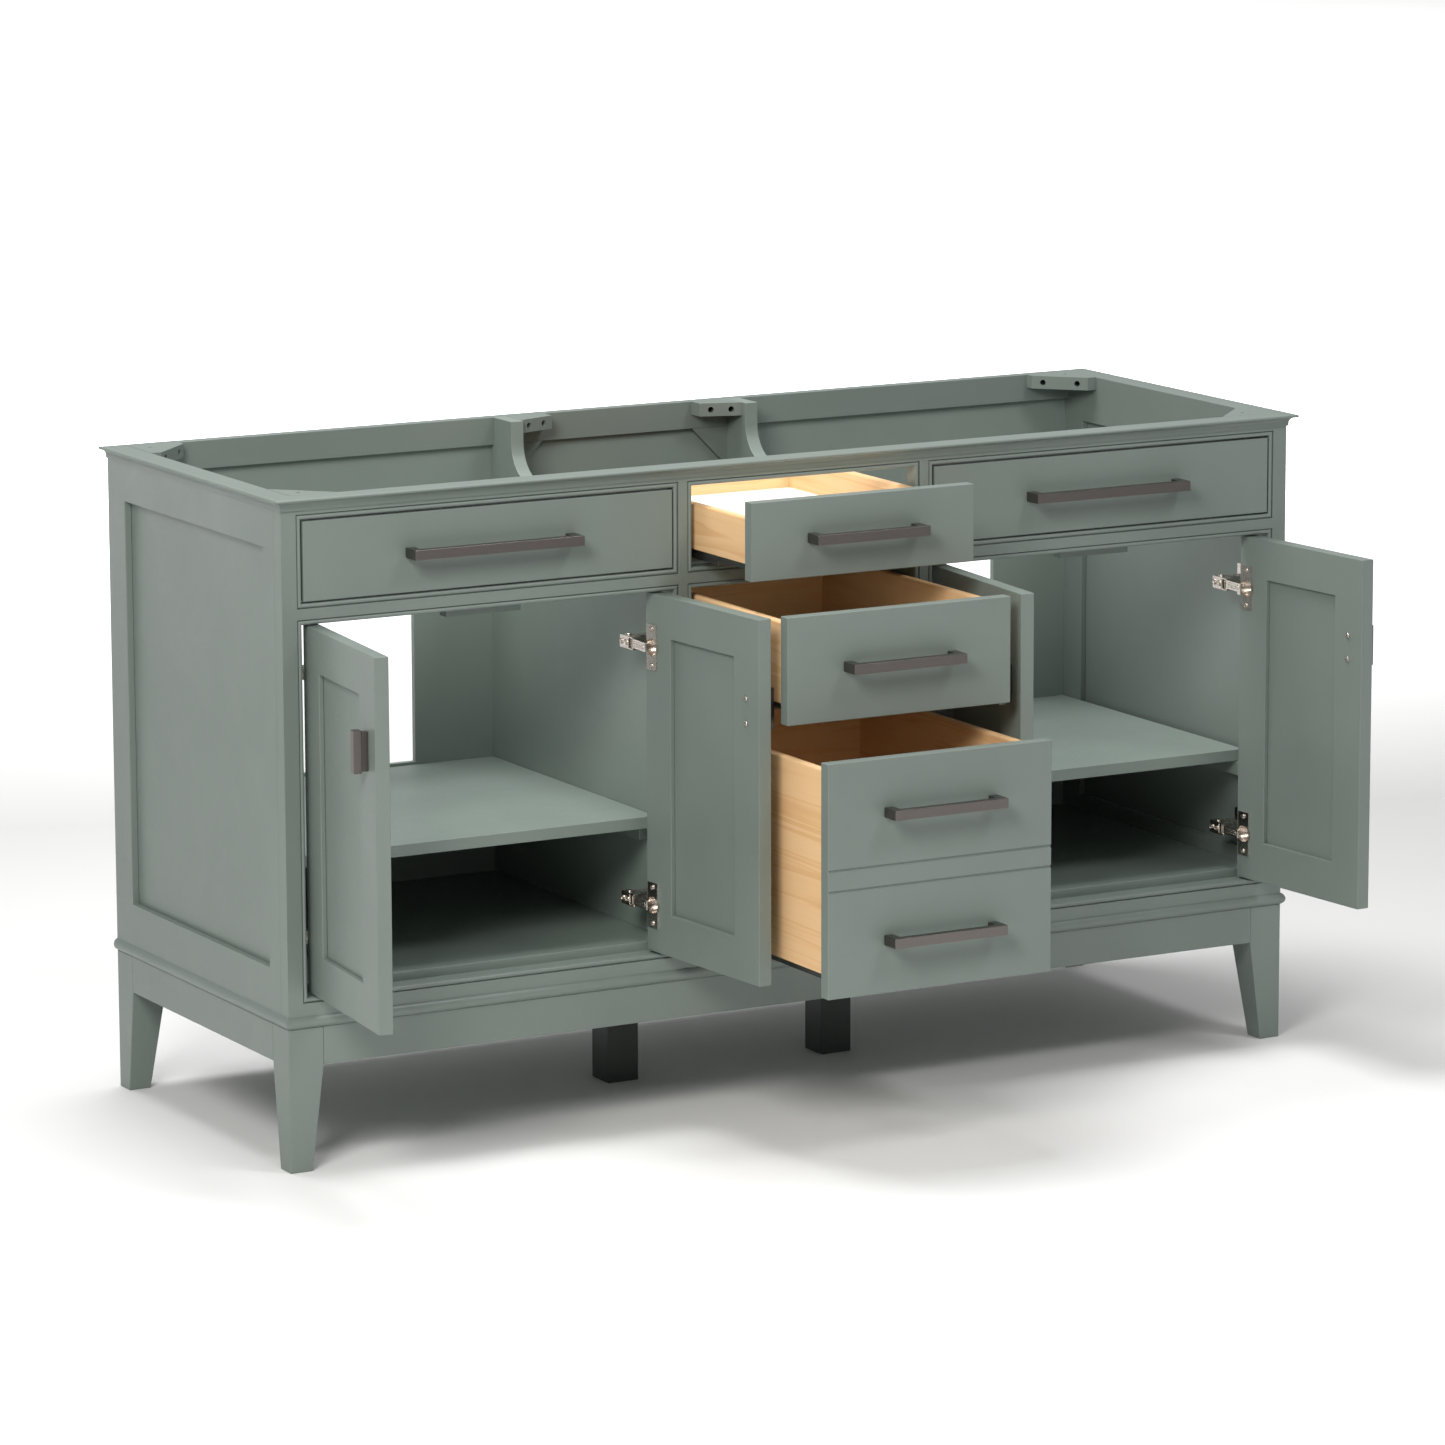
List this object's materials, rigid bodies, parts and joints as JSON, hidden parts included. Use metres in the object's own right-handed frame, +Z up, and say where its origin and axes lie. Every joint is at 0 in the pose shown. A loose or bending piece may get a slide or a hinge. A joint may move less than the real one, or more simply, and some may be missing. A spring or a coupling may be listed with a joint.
{
  "type": "bathroom vanity cabinet",
  "caption": "Painted double-sink vanity base cabinet with no top: inset panel doors on concealed hinges either side of a bank of drawers on slides.",
  "frame": {"origin": "middle of the cabinet's width, on the floor, in the plane of its back", "axes": "+X along the front to the viewer's right, +Y towards the wall behind, +Z up; the doors and drawers face -Y"},
  "size_m": [1.524, 0.9085, 0.864],
  "materials": {
    "cabinet_paint": "satin grey-green paint",
    "inside_paint": "satin grey-green paint",
    "dark_paint": "dark stain",
    "pine": "clear lacquer",
    "bronze": "dark bronze",
    "hinge_nickel": "nickel plate",
    "slide_steel": "dark zinc"
  },
  "bodies": {
    "cabinet": {"side_frames": "cabinet_paint", "side_panels": "cabinet_paint", "face_frame": "cabinet_paint", "opening_beads": "cabinet_paint", "top_moulding": "cabinet_paint", "back_rail": "cabinet_paint", "corner_blocks": "cabinet_paint", "partition_left": "inside_paint", "partition_right": "inside_paint", "back_panel": "inside_paint", "floor_deck": "inside_paint", "shelves": "inside_paint", "shelf_cleats": "inside_paint", "false_fronts": "cabinet_paint", "false_front_pulls": "bronze", "base_aprons": "cabinet_paint", "base_bead": "cabinet_paint", "corner_legs": "cabinet_paint", "centre_posts": "dark_paint", "slide_rails": "slide_steel", "hinge_mounts": "hinge_nickel"},
    "door_1": {"door_1_frame": "cabinet_paint", "door_1_panel": "cabinet_paint", "door_1_pull": "bronze", "door_1_cups": "hinge_nickel"},
    "door_1_links": {"door_1_links": "hinge_nickel"},
    "door_2": {"door_2_frame": "cabinet_paint", "door_2_panel": "cabinet_paint", "door_2_pull": "bronze", "door_2_cups": "hinge_nickel"},
    "door_2_links": {"door_2_links": "hinge_nickel"},
    "door_3": {"door_3_frame": "cabinet_paint", "door_3_panel": "cabinet_paint", "door_3_pull": "bronze", "door_3_cups": "hinge_nickel"},
    "door_3_links": {"door_3_links": "hinge_nickel"},
    "door_4": {"door_4_frame": "cabinet_paint", "door_4_panel": "cabinet_paint", "door_4_pull": "bronze", "door_4_cups": "hinge_nickel"},
    "door_4_links": {"door_4_links": "hinge_nickel"},
    "drawer_1": {"drawer_1_box": "pine", "drawer_1_bottom": "pine", "drawer_1_front": "cabinet_paint", "drawer_1_pull": "bronze", "drawer_1_runners": "slide_steel"},
    "middle_slides_1": {"middle_slides_1": "slide_steel"},
    "drawer_2": {"drawer_2_box": "pine", "drawer_2_bottom": "pine", "drawer_2_front": "cabinet_paint", "drawer_2_pull": "bronze", "drawer_2_runners": "slide_steel"},
    "middle_slides_2": {"middle_slides_2": "slide_steel"},
    "drawer_3": {"drawer_3_box": "pine", "drawer_3_bottom": "pine", "drawer_3_front": "cabinet_paint", "drawer_3_pull": "bronze", "drawer_3_runners": "slide_steel"},
    "middle_slides_3": {"middle_slides_3": "slide_steel"}
  },
  "joints": [
    {"name": "door_1_hinge", "type": "hinge", "parent": "cabinet", "child": "door_1", "pos_m": [-0.705, -0.5265, 0.46], "axis": [0, 0, -1], "range_deg": [-96, 4]},
    {"name": "door_1_link_hinge", "type": "hinge", "parent": "cabinet", "child": "door_1_links", "pos_m": [-0.686, -0.488, 0.46], "axis": [0, 0, -1], "range_deg": [-57.65, 2.45]},
    {"name": "door_2_hinge", "type": "hinge", "parent": "cabinet", "child": "door_2", "pos_m": [-0.211, -0.5265, 0.46], "axis": [0, 0, 1], "range_deg": [-94.5, 0.1]},
    {"name": "door_2_link_hinge", "type": "hinge", "parent": "cabinet", "child": "door_2_links", "pos_m": [-0.23, -0.488, 0.46], "axis": [0, 0, 1], "range_deg": [-56.75, 0.11]},
    {"name": "door_3_hinge", "type": "hinge", "parent": "cabinet", "child": "door_3", "pos_m": [0.211, -0.5265, 0.46], "axis": [0, 0, -1], "range_deg": [-94.5, 0.1]},
    {"name": "door_3_link_hinge", "type": "hinge", "parent": "cabinet", "child": "door_3_links", "pos_m": [0.23, -0.488, 0.46], "axis": [0, 0, -1], "range_deg": [-56.75, 0.11]},
    {"name": "door_4_hinge", "type": "hinge", "parent": "cabinet", "child": "door_4", "pos_m": [0.705, -0.5265, 0.46], "axis": [0, 0, 1], "range_deg": [-94.5, 5.5]},
    {"name": "door_4_link_hinge", "type": "hinge", "parent": "cabinet", "child": "door_4_links", "pos_m": [0.686, -0.488, 0.46], "axis": [0, 0, 1], "range_deg": [-56.75, 3.35]},
    {"name": "drawer_1_slide", "type": "slide", "parent": "cabinet", "child": "drawer_1", "axis": [0, -1, 0], "range_m": [-0.152, 0.268]},
    {"name": "middle_slides_1_slide", "type": "slide", "parent": "cabinet", "child": "middle_slides_1", "axis": [0, -1, 0], "range_m": [-0.0765, 0.1345]},
    {"name": "drawer_2_slide", "type": "slide", "parent": "cabinet", "child": "drawer_2", "axis": [0, -1, 0], "range_m": [-0.244, 0.176]},
    {"name": "middle_slides_2_slide", "type": "slide", "parent": "cabinet", "child": "middle_slides_2", "axis": [0, -1, 0], "range_m": [-0.1225, 0.0885]},
    {"name": "drawer_3_slide", "type": "slide", "parent": "cabinet", "child": "drawer_3", "axis": [0, -1, 0], "range_m": [-0.346, 0.074]},
    {"name": "middle_slides_3_slide", "type": "slide", "parent": "cabinet", "child": "middle_slides_3", "axis": [0, -1, 0], "range_m": [-0.1735, 0.0375]}
  ],
  "couplings": [
    {"joint": "door_1_link_hinge", "follows": "door_1_hinge", "ratio": 0.6},
    {"joint": "door_2_link_hinge", "follows": "door_2_hinge", "ratio": 0.6},
    {"joint": "door_3_link_hinge", "follows": "door_3_hinge", "ratio": 0.6},
    {"joint": "door_4_link_hinge", "follows": "door_4_hinge", "ratio": 0.6},
    {"joint": "middle_slides_1_slide", "follows": "drawer_1_slide", "ratio": 0.5},
    {"joint": "middle_slides_2_slide", "follows": "drawer_2_slide", "ratio": 0.5},
    {"joint": "middle_slides_3_slide", "follows": "drawer_3_slide", "ratio": 0.5}
  ]
}
